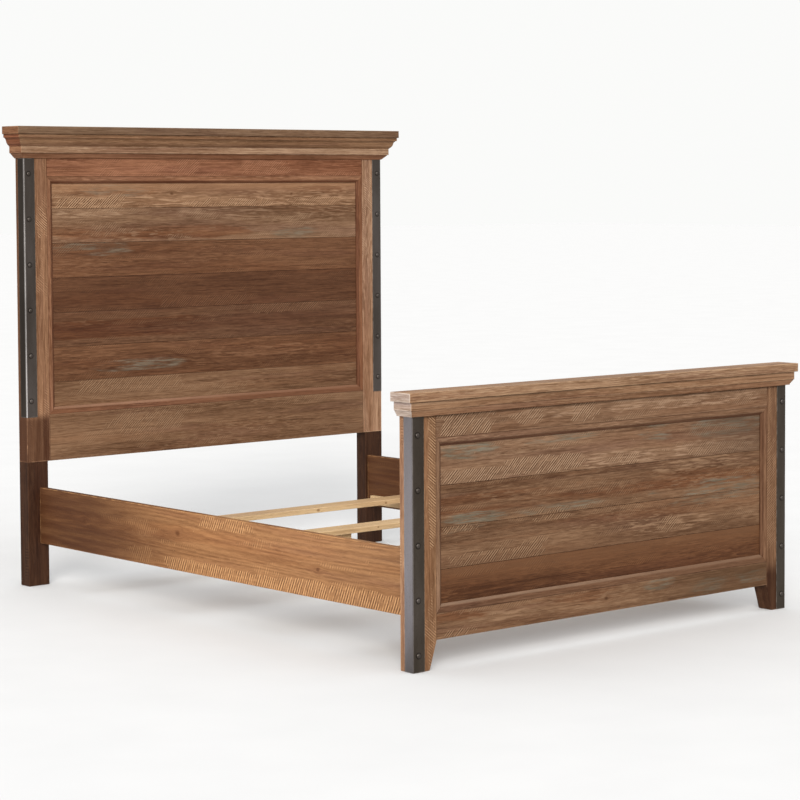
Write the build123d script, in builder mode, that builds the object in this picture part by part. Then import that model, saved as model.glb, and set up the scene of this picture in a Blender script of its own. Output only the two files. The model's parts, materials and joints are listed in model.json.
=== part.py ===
from build123d import *
from collections import namedtuple
import os

# Queen-size panel bed frame in reclaimed-look timber with riveted steel corner angles.
# Millimetres. X runs across the bed, +Y towards the headboard, +Z up.
# The origin is on the floor, below the middle of the overall box.

# ---- Overall sizes ---------------------------------------------------------------
WIDTH = 1690.0  # across the posts, over the steel angles
RAIL_LENGTH = 2080.0  # between the headboard legs and the footboard posts
HEAD_HEIGHT = 1676.0
FOOT_HEIGHT = 842.5
HEAD_DEPTH = 56.0  # wood of the headboard posts, front to back
FOOT_DEPTH = 59.0  # wood of the footboard posts, front to back
STEEL = 2.0  # wall of the corner angles
EASE = 1.0  # rounding of the long timber edges
GAP = 0.3  # open hairline where two mitred lengths meet

# ---- Crown boards and mouldings ----------------------------------------------------
HEAD_CAP = 28.0
HEAD_COVE = 44.0
HEAD_FRIEZE = 25.0
HEAD_BED_MOULD = 18.5
HEAD_CAP_OVERHANG = 53.0  # past the steel, at the front and both sides
HEAD_FRIEZE_OVERHANG = 23.5
FOOT_CAP = 28.5
FOOT_UNDER_BOARD = 26.5
FOOT_BED_MOULD = 18.5
FOOT_CAP_SIDE = 32.0
FOOT_CAP_FRONT = 27.0
FOOT_CAP_BACK = 3.0
FOOT_UNDER_OVERHANG = 21.0

# ---- Frame-and-panel construction --------------------------------------------------
RAIL_THICKNESS = 34.0  # top and bottom rails of the two end panels
PANEL_RECESS = 11.0  # plank face behind the frame face
PLANK = 12.0  # plank thickness, and so the width of the panel groove
PLANK_PITCH = 127.0
PLANK_ENTRY = 10.0  # how far planks reach into the frame groove
GROOVE = 12.0  # depth of that groove
TENON = 40.0  # length of the rail tenons
MOULDING = 26.0  # width of the strip that frames each panel
SEAM_BEVEL = 1.2
TONGUE = (4.0, 6.0)  # thickness and height of the tongue between planks

# ---- Headboard legs ----------------------------------------------------------------
LEG_JOINT = 455.0  # the posts stop here and the legs carry on to the floor
LEG_INNER = 756.6
LEG_TENON_X = (792.0, 834.0)
LEG_TENON_Y = (10.0, 38.0)  # behind the headboard face
LEG_TENON_HEIGHT = 90.0
LEG_BOLT_X = 813.0
LEG_BOLT_HEIGHTS = (480.0, 520.0)
BOLT_RADIUS = 4.0
BOLT_LENGTH = 35.0
BOLT_HEAD = (6.5, 8.0)  # radius and height

# ---- Footboard feet ----------------------------------------------------------------
FOOT_TAPER = 28.0  # how much narrower each foot is at the floor

# ---- Steel angles and rivets -------------------------------------------------------
ANGLE_FRONT = 46.0
ANGLE_SIDE = 40.0
ANGLE_BEND = 2.5
RIVET_PITCH = 165.4
RIVET_FROM_CORNER = 21.0
RIVET_HEAD = (7.5, 4.2)  # radius and height
RIVET_SHANK = (3.0, 20.0)  # radius and length

# ---- Side rails, their hooks and the mattress support --------------------------------
RAIL_HEIGHT = (155.0, 360.0)
RAIL_OUTER = 792.8
RAIL_BOARD = 25.0
RAIL_CENTRE = RAIL_OUTER - RAIL_BOARD / 2
RAIL_INNER = RAIL_OUTER - RAIL_BOARD
PLATE_HALF_WIDTH = 7.5
PLATE_HALF_HEIGHT = 75.0
PLATE = 3.0
PLATE_HEIGHT = 257.0  # middle of the hook and socket plates
HOOK_OFFSET = 38.0  # two hooks, this far above and below the middle
HOOK_NECK = 14.0
HOOK_DROP = 8.0
HOOK_REACH = 9.4
HOOK_GRIP = 3.4  # space between rail end and hook tip, for the socket plate
HOOK_HALF_THICKNESS = 1.5
SLOT_HALF_WIDTH = 2.0
SLOT_RISE = 9.5  # free height above the neck, for hooking in
POCKET = 12.0  # depth of the hook pocket in the timber
CLEAT = (20.0, 35.0)  # thickness and height
CLEAT_BOTTOM = 165.0
CLEAT_LENGTH = 2000.0
CLEAT_SCREWS = (60.0, 520.0, 1040.0, 1560.0, 2020.0)  # from the footboard
SLAT = (1530.0, 89.0, 19.0)
SLAT_COUNT = 4
SLAT_BOTTOM = CLEAT_BOTTOM + CLEAT[1]
SLAT_TOP = SLAT_BOTTOM + SLAT[2]
SUPPORTED_SLATS = (2, 3)
SUPPORT_LEG = 44.0
SUPPORT_LEG_BOTTOM = 32.0
INSERT_RADIUS = 5.5
INSERT_LENGTH = 25.0
INSERT_FLANGE = (9.0, 1.5)  # radius and thickness
STUD_RADIUS = 4.0
STUD_TOP = 70.0
STUD_BORE_TOP = 95.0
GLIDE_PAD = (17.0, 8.0)  # radius and thickness

# ---- Wood screw used throughout ------------------------------------------------------
SCREW_RADIUS = 2.0
SCREW_HEAD_RADIUS = 4.0
SCREW_LENGTH = 30.0
SCREW_TIP = 4.0
CLEARANCE = 0.05

# ---- Positions that follow -----------------------------------------------------------
LENGTH = FOOT_CAP_FRONT + STEEL + FOOT_DEPTH + RAIL_LENGTH + HEAD_DEPTH
WOOD_HALF = WIDTH / 2 - STEEL
FOOT_FACE = -LENGTH / 2 + FOOT_CAP_FRONT + STEEL
FOOT_BACK = FOOT_FACE + FOOT_DEPTH
HEAD_FACE = FOOT_BACK + RAIL_LENGTH
HEAD_BACK = HEAD_FACE + HEAD_DEPTH
HEAD_FRIEZE_TOP = HEAD_HEIGHT - HEAD_CAP - HEAD_COVE
HEAD_TOP = HEAD_FRIEZE_TOP - HEAD_FRIEZE  # top of posts and top rail
FOOT_TOP = FOOT_HEIGHT - FOOT_CAP - FOOT_UNDER_BOARD

# One end panel: face and back give the posts' wood, inner is half the width between
# the posts, bottom and top are the outer edges of the rails, opening is the height
# between the rails, seam is the lowest plank seam.
End = namedtuple("End", "name face back inner bottom top opening seam seams angle rivets")
HEAD = End("hb", HEAD_FACE, HEAD_BACK, 746.0, LEG_JOINT, HEAD_TOP, (625.0, 1495.0), 742.0, 6,
           (619.0, HEAD_TOP - HEAD_BED_MOULD), [1505.0 - RIVET_PITCH * n for n in range(6)])
FOOT = End("fb", FOOT_FACE, FOOT_BACK, 750.0, 90.0, FOOT_TOP, (170.0, 700.0), 299.0, 3,
           (1.0, FOOT_TOP - FOOT_BED_MOULD), [713.0 - RIVET_PITCH * n for n in range(5)])
SIDES = {"left": -1, "right": 1}


def save(piece, name):
    piece.part.label = name
    export_step(piece.part, f"parts/{name}.step")


def block(x, y, z, mode=Mode.ADD):
    """The block between two limits in each direction, added to or cut from a part."""
    with Locations((min(x), min(y), min(z))):
        Box(abs(x[1] - x[0]), abs(y[1] - y[0]), abs(z[1] - z[0]), align=(Align.MIN,) * 3, mode=mode)


def panel_groove(end):
    return (end.face + PANEL_RECESS, end.face + PANEL_RECESS + PLANK)


def rail_tenons(end):
    """Heights of the bottom and the top rail's tenons, clear of the panel groove."""
    low, high = end.opening
    bottom = (end.bottom + 10.0, low - GROOVE - 5.0)
    top = (high + GROOVE + 3.0, end.top - 12.0)
    return bottom, top


# ---- Fasteners -----------------------------------------------------------------------
def drill(planes):
    """Countersunk screw holes, each along the plane's -Z."""
    with Locations(*planes):
        CounterSinkHole(radius=SCREW_RADIUS + CLEARANCE, counter_sink_radius=SCREW_HEAD_RADIUS + CLEARANCE,
                        depth=SCREW_LENGTH + 1.0)


def slat_centres():
    pitch = RAIL_LENGTH / SLAT_COUNT
    return [FOOT_BACK + pitch * (n + 0.5) for n in range(SLAT_COUNT)]


def slat_end_screws(y):
    reach = SLAT[0] / 2 - 9.0
    return [Plane((s * reach, y, SLAT_TOP)) for s in SIDES.values()]


def support_leg_screws(y):
    return [Plane((x, y, SLAT_TOP)) for x in (-12.0, 12.0)]


def cleat_screws(side):
    x = side * (RAIL_INNER - CLEAT[0])
    z = CLEAT_BOTTOM + CLEAT[1] / 2
    return [Plane((x, FOOT_BACK + along, z), z_dir=(-side, 0, 0)) for along in CLEAT_SCREWS]


def hook_plate_screws(side, end, way):
    y = end.face if way > 0 else end.back
    return [Plane((side * RAIL_CENTRE, y, PLATE_HEIGHT + dz), z_dir=(0, way, 0)) for dz in (-12.0, 12.0)]


def socket_plate_screws(side, end, way):
    y = end.face if way > 0 else end.back
    return [Plane((side * RAIL_CENTRE, y, PLATE_HEIGHT + dz), z_dir=(0, -way, 0)) for dz in (-66.0, 66.0)]


# Each side rail meets the headboard (hooks pointing +Y) and the footboard (hooks pointing -Y).
JOINTS = [(side, end, way) for side in SIDES.values() for end, way in ((HEAD, 1), (FOOT, -1))]


def wood_screws():
    with BuildPart() as screw:
        with BuildSketch(Plane.XZ):
            with BuildLine():
                Polyline((0, 0), (SCREW_HEAD_RADIUS, 0), (SCREW_RADIUS, SCREW_RADIUS - SCREW_HEAD_RADIUS),
                         (SCREW_RADIUS, SCREW_TIP - SCREW_LENGTH), (0, -SCREW_LENGTH), close=True)
            make_face()
        revolve(axis=Axis.Z)
    places = []
    for y in slat_centres():
        places += slat_end_screws(y)
    for number in SUPPORTED_SLATS:
        places += support_leg_screws(slat_centres()[number - 1])
    for side in SIDES.values():
        places += cleat_screws(side)
    for joint in JOINTS:
        places += hook_plate_screws(*joint) + socket_plate_screws(*joint)
    with BuildPart() as screws:
        with Locations(*places):
            add(screw.part)
    save(screws, "wood_screws")


def rivets(end):
    head_radius, head_height = RIVET_HEAD
    shank_radius, shank_length = RIVET_SHANK
    with BuildPart() as rivet:
        with BuildSketch(Plane.XZ):
            with BuildLine():
                ThreePointArc((0, head_height), (0.62 * head_radius, 0.78 * head_height), (head_radius, 0))
                Polyline((head_radius, 0), (shank_radius, 0), (shank_radius, -shank_length),
                         (0, -shank_length), (0, head_height))
            make_face()
        revolve(axis=Axis.Z)
    places = []
    for side in SIDES.values():
        x = side * (WIDTH / 2 - RIVET_FROM_CORNER)
        places += [Plane((x, end.face - STEEL, z), z_dir=(0, -1, 0)) for z in end.rivets]
    with BuildPart() as row:
        with Locations(*places):
            add(rivet.part)
    save(row, f"{end.name}_rivets")


def rivet_holes(side, end):
    """Holes for one post's rivets, cut through the angle and into the post."""
    x = side * (WIDTH / 2 - RIVET_FROM_CORNER)
    radius, length = RIVET_SHANK
    with Locations(*[Plane((x, end.face - STEEL, z), z_dir=(0, -1, 0)) for z in end.rivets]):
        Hole(radius=radius + CLEARANCE, depth=length + 1.0)


def leg_bolt_planes(side):
    head = BOLT_HEAD[1]
    return [Plane((side * LEG_BOLT_X, HEAD_BACK - head, z), z_dir=(0, 1, 0)) for z in LEG_BOLT_HEIGHTS]


def leg_bolt_holes(side):
    """Counterbored holes through the back of the post and into the leg's tenon."""
    back = [Plane((side * LEG_BOLT_X, HEAD_BACK, z), z_dir=(0, 1, 0)) for z in LEG_BOLT_HEIGHTS]
    with Locations(*back):
        CounterBoreHole(radius=BOLT_RADIUS + CLEARANCE, counter_bore_radius=BOLT_HEAD[0] + 2.5,
                        counter_bore_depth=BOLT_HEAD[1], depth=BOLT_HEAD[1] + BOLT_LENGTH + 1.0)


def leg_bolts():
    with BuildPart() as bolt:
        Cylinder(BOLT_HEAD[0], BOLT_HEAD[1], align=(Align.CENTER, Align.CENTER, Align.MIN))
        fillet(bolt.edges().group_by(Axis.Z)[-1], 1.0)
        Cylinder(BOLT_RADIUS, BOLT_LENGTH, align=(Align.CENTER, Align.CENTER, Align.MAX))
        with BuildSketch(Plane.XY.offset(BOLT_HEAD[1])):
            RegularPolygon(radius=3.0, side_count=6, major_radius=False)
        extrude(amount=-4.5, mode=Mode.SUBTRACT)
    with BuildPart() as bolts:
        with Locations(*leg_bolt_planes(-1), *leg_bolt_planes(1)):
            add(bolt.part)
    save(bolts, "hb_leg_bolts")


# ---- Posts and legs ------------------------------------------------------------------
def panel_joinery(side, end):
    """The groove and the two rail mortises in a post's inner edge."""
    groove = panel_groove(end)
    low, high = end.opening
    block((side * end.inner, side * (end.inner + GROOVE)), groove, (low - GROOVE, high + GROOVE), Mode.SUBTRACT)
    for tenon in rail_tenons(end):
        block((side * end.inner, side * (end.inner + TENON)), groove, tenon, Mode.SUBTRACT)


def socket_recess(side, end, way):
    """Recess for a socket plate and the two pockets behind it that the hooks drop into."""
    y = end.face if way > 0 else end.back
    x = side * RAIL_CENTRE
    plate_z = (PLATE_HEIGHT - PLATE_HALF_HEIGHT, PLATE_HEIGHT + PLATE_HALF_HEIGHT)
    block((x - PLATE_HALF_WIDTH, x + PLATE_HALF_WIDTH), (y, y + way * PLATE), plate_z, Mode.SUBTRACT)
    for offset in (-HOOK_OFFSET, HOOK_OFFSET):
        low = PLATE_HEIGHT + offset - HOOK_NECK / 2 - HOOK_DROP - 2.0
        high = PLATE_HEIGHT + offset + HOOK_NECK / 2 + SLOT_RISE
        block((x - 4.0, x + 4.0), (y, y + way * POCKET), (low, high), Mode.SUBTRACT)
    drill(socket_plate_screws(side, end, way))


def leg_tenon(side, height):
    x = (side * LEG_TENON_X[0], side * LEG_TENON_X[1])
    y = (HEAD_FACE + LEG_TENON_Y[0], HEAD_FACE + LEG_TENON_Y[1])
    return x, y, (LEG_JOINT, LEG_JOINT + height)


def head_post(side, where):
    with BuildPart() as post:
        block((side * HEAD.inner, side * WOOD_HALF), (HEAD_FACE, HEAD_BACK), (LEG_JOINT, HEAD_TOP))
        fillet(post.edges().filter_by(Axis.Z), EASE)
        panel_joinery(side, HEAD)
        block(*leg_tenon(side, LEG_TENON_HEIGHT + 1.0), Mode.SUBTRACT)
        rivet_holes(side, HEAD)
        leg_bolt_holes(side)
    save(post, f"hb_post_{where}")


def head_leg(side, where):
    with BuildPart() as leg:
        block((side * LEG_INNER, side * WOOD_HALF), (HEAD_FACE, HEAD_BACK), (0, LEG_JOINT))
        chamfer(leg.faces().sort_by(Axis.Z)[0].edges(), 2.0)
        fillet(leg.edges().filter_by(Axis.Z), EASE)
        block(*leg_tenon(side, LEG_TENON_HEIGHT))
        leg_bolt_holes(side)
        socket_recess(side, HEAD, 1)
    save(leg, f"hb_leg_{where}")


def foot_post(side, where):
    with BuildPart() as post:
        with BuildSketch(Plane.XZ.offset(-FOOT_BACK)):
            with BuildLine():
                Polyline((side * WOOD_HALF, 0), (side * (FOOT.inner + FOOT_TAPER), 0),
                         (side * FOOT.inner, FOOT.bottom), (side * FOOT.inner, FOOT_TOP),
                         (side * WOOD_HALF, FOOT_TOP), close=True)
            make_face()
        extrude(amount=FOOT_DEPTH)
        chamfer(post.faces().sort_by(Axis.Z)[0].edges(), 2.0)
        fillet(post.edges().filter_by(Axis.Z), EASE)
        panel_joinery(side, FOOT)
        rivet_holes(side, FOOT)
        socket_recess(side, FOOT, -1)
    save(post, f"fb_post_{where}")


def corner_angle(side, where, end):
    """Steel angle over the outer front corner, riveted through its front leaf."""
    corner = (side * WIDTH / 2, end.face - STEEL)
    low, high = end.angle
    with BuildPart() as angle:
        with BuildSketch(Plane.XY.offset(low)) as section:
            with BuildLine():
                x, y = corner
                Polyline((x, y), (x - side * ANGLE_FRONT, y), (x - side * ANGLE_FRONT, y + STEEL),
                         (x - side * STEEL, y + STEEL), (x - side * STEEL, y + ANGLE_SIDE),
                         (x, y + ANGLE_SIDE), close=True)
            make_face()
            fillet(section.vertices().sort_by_distance(corner)[0], ANGLE_BEND)
        extrude(amount=high - low)
        rivet_holes(side, end)
    save(angle, f"{end.name}_angle_{where}")


# ---- Rails, planks and panel mouldings ---------------------------------------------
def panel_rail(end, which):
    """Top or bottom rail of an end panel, with tenons and a groove for the planks."""
    low, high = end.opening
    z = (end.bottom, low) if which == "bottom" else (high, end.top)
    groove_z = (low - GROOVE, low) if which == "bottom" else (high, high + GROOVE)
    tenon_z = rail_tenons(end)[0 if which == "bottom" else 1]
    with BuildPart() as rail:
        block((-end.inner, end.inner), (end.face, end.face + RAIL_THICKNESS), z)
        fillet(rail.edges().filter_by(Axis.X), EASE)
        block((-end.inner, end.inner), panel_groove(end), groove_z, Mode.SUBTRACT)
        for side in SIDES.values():
            block((side * end.inner, side * (end.inner + TENON)), panel_groove(end), tenon_z)
    save(rail, f"{end.name}_{which}_rail")


def plank(end, number, low, high, grooved, tongued):
    """One tongued and grooved plank of a panel, its seams bevelled on the face."""
    front, back = panel_groove(end)
    thick, tall = TONGUE
    middle = (front + back) / 2
    below = 0.0 if not grooved else SEAM_BEVEL
    above = 0.0 if not tongued else SEAM_BEVEL
    outline = [(front, low + below), (front + below, low)]
    if grooved:
        deep = low + tall + 0.5
        outline += [(middle - thick / 2, low), (middle - thick / 2, deep), (middle + thick / 2, deep),
                    (middle + thick / 2, low)]
    outline += [(back, low), (back, high)]
    if tongued:
        tip = high + tall
        outline += [(middle + thick / 2, high), (middle + thick / 2, tip), (middle - thick / 2, tip),
                    (middle - thick / 2, high)]
    outline += [(front + above, high), (front, high - above)]
    outline = [point for n, point in enumerate(outline) if point != outline[n - 1]]
    half = end.inner + PLANK_ENTRY
    with BuildPart() as board:
        with BuildSketch(Plane.YZ.offset(-half)):
            with BuildLine():
                Polyline(*outline, close=True)
            make_face()
        extrude(amount=2 * half)
    save(board, f"{end.name}_plank_{number}")


def planks(end):
    """Planks numbered from the bottom of the panel upwards."""
    low, high = end.opening
    seams = [end.seam + PLANK_PITCH * n for n in range(end.seams)]
    edges = [low - PLANK_ENTRY] + seams + [high + PLANK_ENTRY]
    for n in range(end.seams + 1):
        plank(end, n + 1, edges[n], edges[n + 1], grooved=n > 0, tongued=n < end.seams)


def panel_moulding(end, name, start, stop, inward):
    """Mitred strip from corner start to corner stop, stepping down to the planks."""
    along = (stop - start).normalized()
    with BuildPart() as strip:
        with BuildSketch(Plane(start, x_dir=inward, z_dir=along)):
            with BuildLine():
                Polyline((0, 0.8), (15.0, 1.8), (16.2, 3.6), (17.4, 3.6), (25.2, 8.4), (MOULDING, 8.4),
                         (MOULDING, PANEL_RECESS), (0, PANEL_RECESS), close=True)
            make_face()
        extrude(amount=(stop - start).length)
        split(bisect_by=Plane(start + along * GAP / 2, z_dir=along - inward), keep=Keep.TOP)
        split(bisect_by=Plane(stop - along * GAP / 2, z_dir=-along - inward), keep=Keep.TOP)
    save(strip, f"{end.name}_moulding_{name}")


def panel_mouldings(end):
    low, high = end.opening
    across, up = Vector(1, 0, 0), Vector(0, 0, 1)
    corner = {(sx, z): Vector(sx * end.inner, end.face, z) for sx in (-1, 1) for z in (low, high)}
    panel_moulding(end, "top", corner[-1, high], corner[1, high], -up)
    panel_moulding(end, "bottom", corner[1, low], corner[-1, low], up)
    panel_moulding(end, "left", corner[-1, low], corner[-1, high], across)
    panel_moulding(end, "right", corner[1, high], corner[1, low], -across)


# ---- Crowns --------------------------------------------------------------------------
def crown_board(name, end, side_overhang, front_overhang, back_overhang, z):
    """A flat board of a crown, its overhangs measured from the steel angles."""
    half = WIDTH / 2 + side_overhang
    with BuildPart() as board:
        block((-half, half), (end.face - STEEL - front_overhang, end.back + back_overhang), z)
        fillet(board.edges().filter_by(Axis.Z), 2 * EASE)
        fillet(board.faces().filter_by(Axis.Z).edges(), 1.5 * EASE)
    save(board, name)


def crown_moulding(name, end, z, section):
    """A moulding along the front with mitred returns, fixed to the wood's faces."""
    height = Vector(0, 0, z)
    corners = [Vector(WOOD_HALF, end.back, 0), Vector(WOOD_HALF, end.face, 0),
               Vector(-WOOD_HALF, end.face, 0), Vector(-WOOD_HALF, end.back, 0)]
    outward = [Vector(1, 0, 0), Vector(0, -1, 0), Vector(-1, 0, 0)]
    spare = 60.0
    with BuildPart() as moulding:
        for n, out in enumerate(outward):
            start, stop = corners[n] + height, corners[n + 1] + height
            along = (stop - start).normalized()
            before = spare if n > 0 else 0.0
            after = spare if n < 2 else 0.0
            with BuildPart(mode=Mode.PRIVATE) as run:
                with BuildSketch(Plane(start - along * before, x_dir=out, z_dir=along)):
                    add(section)
                extrude(amount=(stop - start).length + before + after)
                if n > 0:
                    split(bisect_by=Plane(start + along * GAP, z_dir=along + out), keep=Keep.TOP)
                if n < 2:
                    split(bisect_by=Plane(stop, z_dir=out - along), keep=Keep.TOP)
            add(run.part)
    save(moulding, name)


def bevel_section(points):
    with BuildSketch() as section:
        with BuildLine():
            Polyline(*points, close=True)
        make_face()
    return section.sketch


def cove_section():
    """Ogee between two fillets; x is outward from the wood, y is up."""
    foot, crest = STEEL + 25.0, STEEL + 47.0
    waist = (STEEL + 35.5, 17.0)
    with BuildSketch() as section:
        with BuildLine():
            Polyline((0, 0), (foot, 0), (foot, 3.0), (foot + 1.0, 3.0))
            ThreePointArc((foot + 1.0, 3.0), (STEEL + 32.0, 9.0), waist)
            ThreePointArc(waist, (STEEL + 38.2, 25.5), (STEEL + 44.0, 31.5))
            Polyline((STEEL + 44.0, 31.5), (crest, 31.5), (crest, HEAD_COVE), (0, HEAD_COVE), (0, 0))
        make_face()
    return section.sketch


def head_crown():
    bed_mould = [(0, 0), (STEEL + 1.5, 0), (STEEL + 18.0, 16.5), (STEEL + 18.0, HEAD_BED_MOULD),
                 (0, HEAD_BED_MOULD)]
    crown_moulding("hb_bed_mould", HEAD, HEAD_TOP - HEAD_BED_MOULD, bevel_section(bed_mould))
    frieze = HEAD_FRIEZE_OVERHANG
    crown_board("hb_frieze_board", HEAD, frieze, frieze, 0.0, (HEAD_TOP, HEAD_FRIEZE_TOP))
    with BuildPart() as core:
        block((-WOOD_HALF, WOOD_HALF), (HEAD_FACE, HEAD_BACK), (HEAD_FRIEZE_TOP, HEAD_FRIEZE_TOP + HEAD_COVE))
    save(core, "hb_crown_core")
    crown_moulding("hb_cove", HEAD, HEAD_FRIEZE_TOP, cove_section())
    cap = HEAD_CAP_OVERHANG
    crown_board("hb_cap_board", HEAD, cap, cap, 0.0, (HEAD_HEIGHT - HEAD_CAP, HEAD_HEIGHT))


def foot_crown():
    bed_mould = [(0, 0), (STEEL + 9.0, 0), (STEEL + 9.0, 3.0), (STEEL + 18.0, 17.0),
                 (STEEL + 18.0, FOOT_BED_MOULD), (0, FOOT_BED_MOULD)]
    crown_moulding("fb_bed_mould", FOOT, FOOT_TOP - FOOT_BED_MOULD, bevel_section(bed_mould))
    under = FOOT_UNDER_OVERHANG
    crown_board("fb_under_board", FOOT, under, under - 1.0, 0.0, (FOOT_TOP, FOOT_HEIGHT - FOOT_CAP))
    crown_board("fb_cap_board", FOOT, FOOT_CAP_SIDE, FOOT_CAP_FRONT, FOOT_CAP_BACK,
                (FOOT_HEIGHT - FOOT_CAP, FOOT_HEIGHT))


# ---- Side rails and mattress support -------------------------------------------------
def side_rail(side, where):
    x = side * RAIL_CENTRE
    plate_z = (PLATE_HEIGHT - PLATE_HALF_HEIGHT, PLATE_HEIGHT + PLATE_HALF_HEIGHT)
    with BuildPart() as rail:
        block((side * RAIL_INNER, side * RAIL_OUTER), (FOOT_BACK, HEAD_FACE), RAIL_HEIGHT)
        fillet(rail.edges().filter_by(Axis.Y), 2 * EASE)
        for y in ((FOOT_BACK, FOOT_BACK + PLATE), (HEAD_FACE - PLATE, HEAD_FACE)):
            block((x - PLATE_HALF_WIDTH, x + PLATE_HALF_WIDTH), y, plate_z, Mode.SUBTRACT)
        drill(cleat_screws(side))
        for end, way in ((HEAD, 1), (FOOT, -1)):
            drill(hook_plate_screws(side, end, way))
    save(rail, f"side_rail_{where}")


def hook_plates():
    """Steel plates let into the rail ends, each with two hooks that drop behind a slot."""
    with BuildPart() as plates:
        for side, end, way in JOINTS:
            x = side * RAIL_CENTRE
            y = end.face if way > 0 else end.back
            plate_z = (PLATE_HEIGHT - PLATE_HALF_HEIGHT, PLATE_HEIGHT + PLATE_HALF_HEIGHT)
            block((x - PLATE_HALF_WIDTH, x + PLATE_HALF_WIDTH), (y - way * PLATE, y), plate_z)
            for offset in (-HOOK_OFFSET, HOOK_OFFSET):
                top = PLATE_HEIGHT + offset + HOOK_NECK / 2
                neck = top - HOOK_NECK
                tip = neck - HOOK_DROP
                grip, reach = y + way * HOOK_GRIP, y + way * HOOK_REACH
                with BuildSketch(Plane.YZ.offset(x - HOOK_HALF_THICKNESS)):
                    with BuildLine():
                        Polyline((y - way * PLATE / 2, top), (reach - way * 3.0, top), (reach, top - 3.0),
                                 (reach, tip), (grip + way * 1.5, tip), (grip, tip + 3.0), (grip, neck),
                                 (y - way * PLATE / 2, neck), close=True)
                    make_face()
                extrude(amount=2 * HOOK_HALF_THICKNESS)
            drill(hook_plate_screws(side, end, way))
    save(plates, "rail_hook_plates")


def socket_plates():
    """Slotted steel plates let into the headboard legs and the footboard posts."""
    with BuildPart() as plates:
        for side, end, way in JOINTS:
            x = side * RAIL_CENTRE
            y = end.face if way > 0 else end.back
            thickness = (y, y + way * PLATE)
            plate_z = (PLATE_HEIGHT - PLATE_HALF_HEIGHT, PLATE_HEIGHT + PLATE_HALF_HEIGHT)
            block((x - PLATE_HALF_WIDTH, x + PLATE_HALF_WIDTH), thickness, plate_z)
            for offset in (-HOOK_OFFSET, HOOK_OFFSET):
                sill = PLATE_HEIGHT + offset - HOOK_NECK / 2
                slot_z = (sill, sill + HOOK_NECK + SLOT_RISE)
                block((x - SLOT_HALF_WIDTH, x + SLOT_HALF_WIDTH), thickness, slot_z, Mode.SUBTRACT)
            drill(socket_plate_screws(side, end, way))
    save(plates, "post_socket_plates")


def slat_cleat(side, where):
    middle = (FOOT_BACK + HEAD_FACE) / 2
    x = (side * (RAIL_INNER - CLEAT[0]), side * RAIL_INNER)
    with BuildPart() as cleat:
        block(x, (middle - CLEAT_LENGTH / 2, middle + CLEAT_LENGTH / 2), (CLEAT_BOTTOM, SLAT_BOTTOM))
        chamfer(cleat.edges().filter_by(Axis.Y), EASE)
        drill(cleat_screws(side))
        for y in slat_centres():
            drill(slat_end_screws(y))
    save(cleat, f"slat_cleat_{where}")


def slat(number, y):
    length, width, thickness = SLAT
    with BuildPart() as board:
        block((-length / 2, length / 2), (y - width / 2, y + width / 2), (SLAT_BOTTOM, SLAT_TOP))
        fillet(board.edges().filter_by(Axis.X), 2 * EASE)
        drill(slat_end_screws(y))
        if number in SUPPORTED_SLATS:
            drill(support_leg_screws(y))
    save(board, f"slat_{number}")


def support_leg(number, y):
    """Square timber leg under the middle of a slat, bored for the levelling glide."""
    half = SUPPORT_LEG / 2
    with BuildPart() as leg:
        block((-half, half), (y - half, y + half), (SUPPORT_LEG_BOTTOM, SLAT_BOTTOM))
        chamfer(leg.edges().filter_by(Axis.Z), 2 * EASE)
        with Locations(Plane((0, y, SUPPORT_LEG_BOTTOM), z_dir=(0, 0, -1))):
            CounterBoreHole(radius=STUD_RADIUS + 0.8, counter_bore_radius=INSERT_RADIUS + CLEARANCE,
                            counter_bore_depth=INSERT_LENGTH + 0.5,
                            depth=STUD_BORE_TOP - SUPPORT_LEG_BOTTOM)
        drill(support_leg_screws(y))
    save(leg, f"support_leg_{number}")


def threaded_inserts():
    """Flanged steel sleeves in the support legs, in which the glide studs turn."""
    centres = [slat_centres()[number - 1] for number in SUPPORTED_SLATS]
    radius, thickness = INSERT_FLANGE
    with BuildPart() as inserts:
        with Locations(*[(0, y, SUPPORT_LEG_BOTTOM) for y in centres]):
            Cylinder(INSERT_RADIUS, INSERT_LENGTH, align=(Align.CENTER, Align.CENTER, Align.MIN))
            Cylinder(radius, thickness, align=(Align.CENTER, Align.CENTER, Align.MAX))
            Cylinder(STUD_RADIUS + CLEARANCE, 3 * INSERT_LENGTH, mode=Mode.SUBTRACT)
    save(inserts, "threaded_inserts")


def glide(number, y):
    """Levelling glide: a stud with a round pad that stands on the floor."""
    radius, thickness = GLIDE_PAD
    with BuildPart() as foot:
        with BuildSketch(Plane.XZ.offset(-y)):
            with BuildLine():
                Polyline((0, 0), (radius - 2.0, 0), (radius, 2.0), (radius, thickness - 3.0),
                         (radius - 6.0, thickness), (STUD_RADIUS, thickness), (STUD_RADIUS, STUD_TOP - 1.0),
                         (STUD_RADIUS - 1.0, STUD_TOP), (0, STUD_TOP), close=True)
            make_face()
        revolve(axis=Axis((0, y, 0), (0, 0, 1)))
    save(foot, f"glide_{number}")


def mattress_support():
    hook_plates()
    socket_plates()
    for number, y in enumerate(slat_centres(), start=1):
        slat(number, y)
    for number, slat_number in enumerate(SUPPORTED_SLATS, start=1):
        y = slat_centres()[slat_number - 1]
        support_leg(number, y)
        glide(number, y)
    threaded_inserts()
    wood_screws()


os.makedirs("parts", exist_ok=True)
for place, sign in SIDES.items():
    head_post(sign, place)
    head_leg(sign, place)
    foot_post(sign, place)
    side_rail(sign, place)
    slat_cleat(sign, place)
    for panel_end in (HEAD, FOOT):
        corner_angle(sign, place, panel_end)
for panel_end in (HEAD, FOOT):
    rivets(panel_end)
    panel_rail(panel_end, "top")
    panel_rail(panel_end, "bottom")
    planks(panel_end)
    panel_mouldings(panel_end)
leg_bolts()
head_crown()
foot_crown()
mattress_support()
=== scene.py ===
import json
import math
import random
import bmesh
import bpy
from mathutils import Matrix, Vector, noise


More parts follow.
